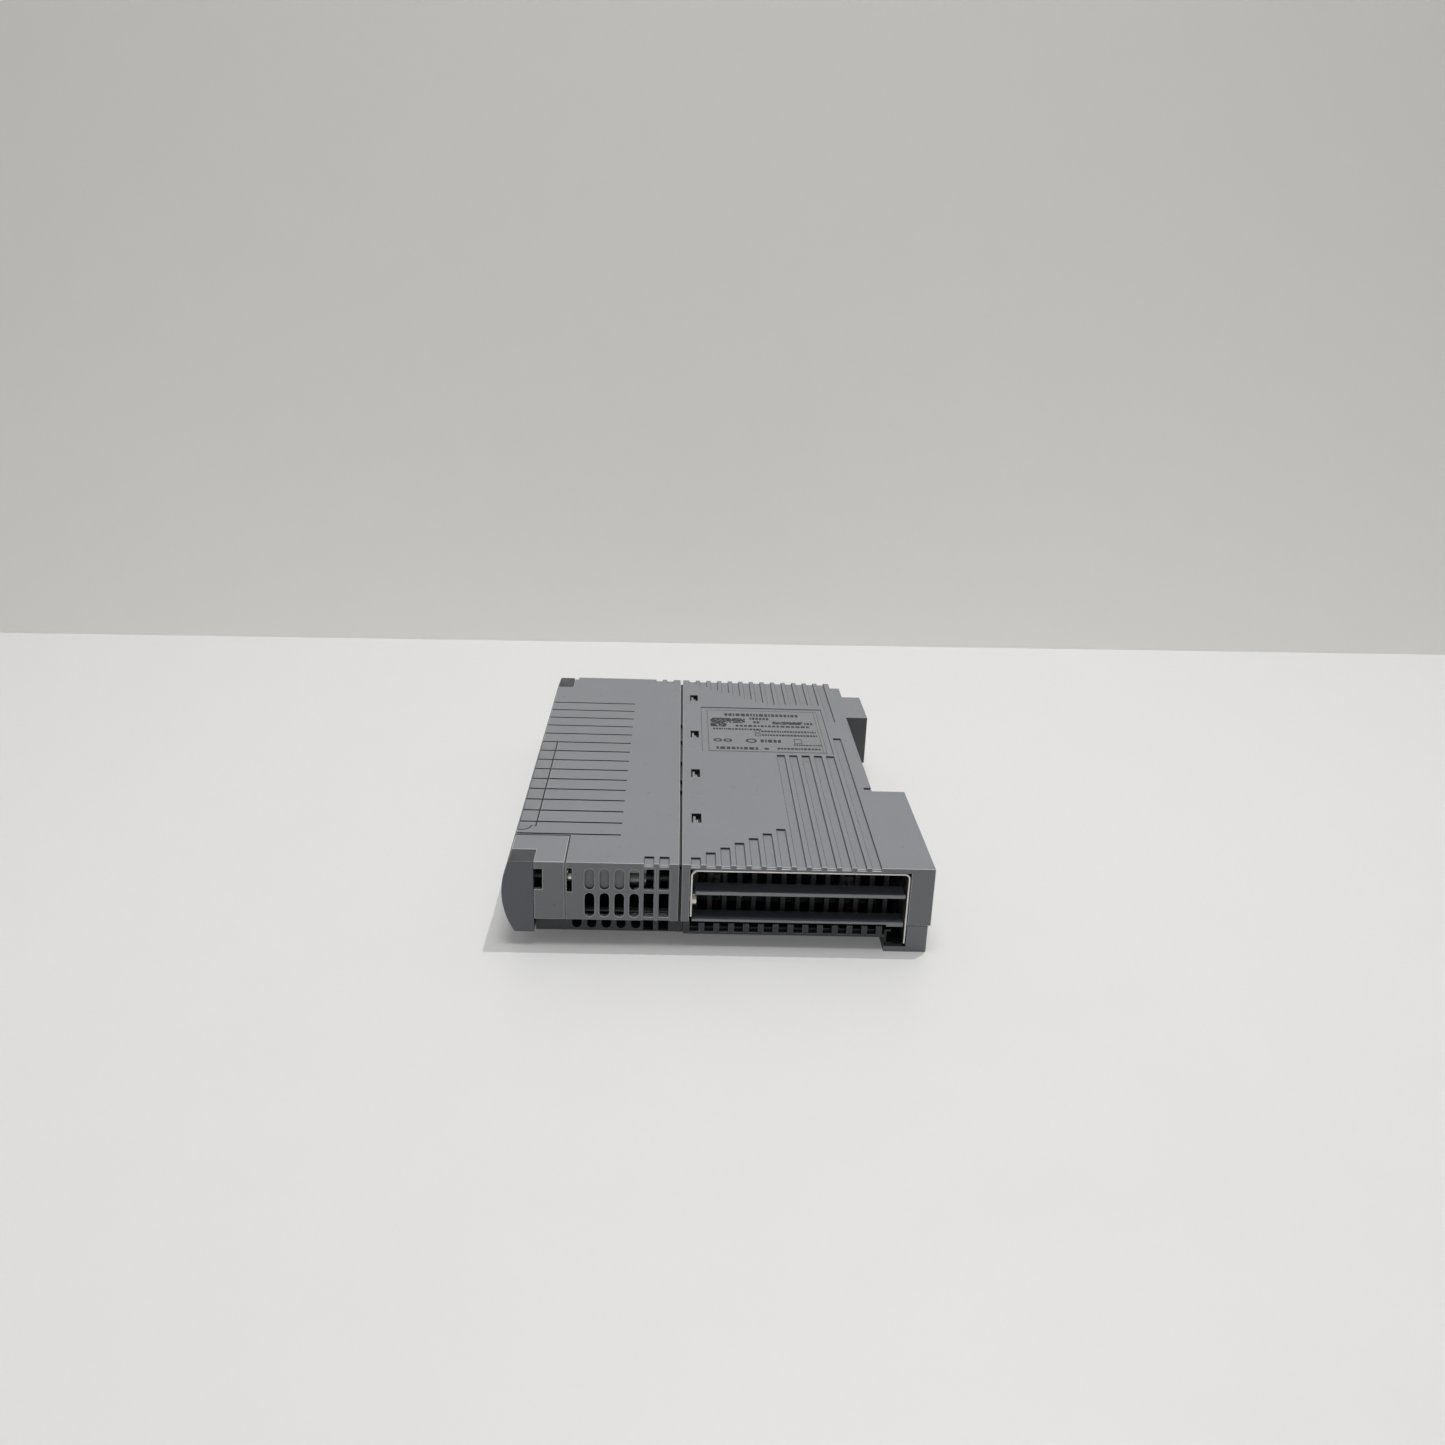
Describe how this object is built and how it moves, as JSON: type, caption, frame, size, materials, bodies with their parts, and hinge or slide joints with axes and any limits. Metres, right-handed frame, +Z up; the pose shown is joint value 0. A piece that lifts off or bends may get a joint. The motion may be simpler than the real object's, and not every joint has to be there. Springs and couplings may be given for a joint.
{
  "type": "plc processor module",
  "caption": "Narrow plug-in processor module of a rack controller, in fluted grey plastic, with a vented end, an air duct with louvres, a crowned front and a stepped backplane side.",
  "frame": {"origin": "centre of the bounding box at the face the module lies on", "axes": "+Z up through the module's thickness, +Y along the height it has in its rack, +X from the crowned front to the backplane side"},
  "size_m": [0.1478, 0.2, 0.032],
  "materials": {
    "case_grey": "fine moulded texture",
    "case_shadow_grey": "fine moulded texture",
    "bezel_dark": "fine moulded texture, dark blue-grey",
    "steel": "zinc plated",
    "sheet_metal": "plated sheet",
    "plated_screw": "nickel plated",
    "louvre_plastic": "smooth",
    "grille_black": "smooth",
    "label_grey": "laser-marked plastic",
    "board_green": "solder mask",
    "brass": "turned",
    "chip_black": "moulded",
    "heat_sink_aluminium": "extruded",
    "capacitor_sleeve": "sleeved can",
    "connector_cream": "glass-filled",
    "contact_gold": "gold plated",
    "socket_steel": "plated shell",
    "led_lens": "diffused",
    "window_clear": "clear strip",
    "battery_wrap": "shrink sleeve",
    "button_cream": "smooth"
  },
  "bodies": {
    "housing": {"rear_upper_shell": "case_grey", "rear_lower_shell": "case_shadow_grey", "front_upper_shell": "case_grey", "front_lower_shell": "case_shadow_grey", "front_bezel": "bezel_dark", "door_hinge_pin": "steel", "end_cover": "case_grey", "air_channel": "sheet_metal", "channel_screw": "plated_screw", "upper_louvre": "louvre_plastic", "lower_louvre": "louvre_plastic", "near_grille": "grille_black", "far_grille": "grille_black", "shell_hooks": "case_grey", "lock_spring": "grille_black", "rating_label": "label_grey", "main_board": "board_green", "board_standoffs": "brass", "board_screws": "steel", "processor_chip": "chip_black", "heat_sink": "heat_sink_aluminium", "memory_chips": "chip_black", "capacitors": "capacitor_sleeve", "backplane_connector": "connector_cream", "backplane_contacts": "contact_gold", "network_socket_1": "socket_steel", "network_socket_2": "socket_steel", "socket_contacts": "contact_gold", "status_leds": "led_lens", "led_window": "window_clear", "battery_holder": "grille_black", "battery_pack": "battery_wrap", "button_switch": "chip_black", "slide_switch": "chip_black", "screw_guides": "connector_cream"},
    "door": {"front_door": "case_grey"},
    "start_button": {"start_button": "button_cream"},
    "mode_switch": {"switch_knob": "button_cream"},
    "near_screw": {"clamp_screw_near": "steel"},
    "far_screw": {"clamp_screw_far": "steel"}
  },
  "joints": [
    {"name": "door_hinge", "type": "hinge", "parent": "housing", "child": "door", "pos_m": [-0.0701, -0.0713, 0.018], "axis": [0, 0, 1], "range_deg": [0, 105]},
    {"name": "start_button_press", "type": "slide", "parent": "housing", "child": "start_button", "axis": [1, 0, 0], "range_m": [0, 0.001], "stiffness_N_per_m": 300},
    {"name": "mode_switch_slide", "type": "slide", "parent": "housing", "child": "mode_switch", "axis": [0, 1, 0], "range_m": [0, 0.0034]},
    {"name": "near_screw_turn", "type": "hinge", "parent": "housing", "child": "near_screw", "pos_m": [-0.0519, -0.0948, 0.0246], "axis": [-1, 0, 0], "continuous": true},
    {"name": "far_screw_turn", "type": "hinge", "parent": "housing", "child": "far_screw", "pos_m": [-0.0519, 0.0948, 0.0246], "axis": [-1, 0, 0], "continuous": true}
  ]
}
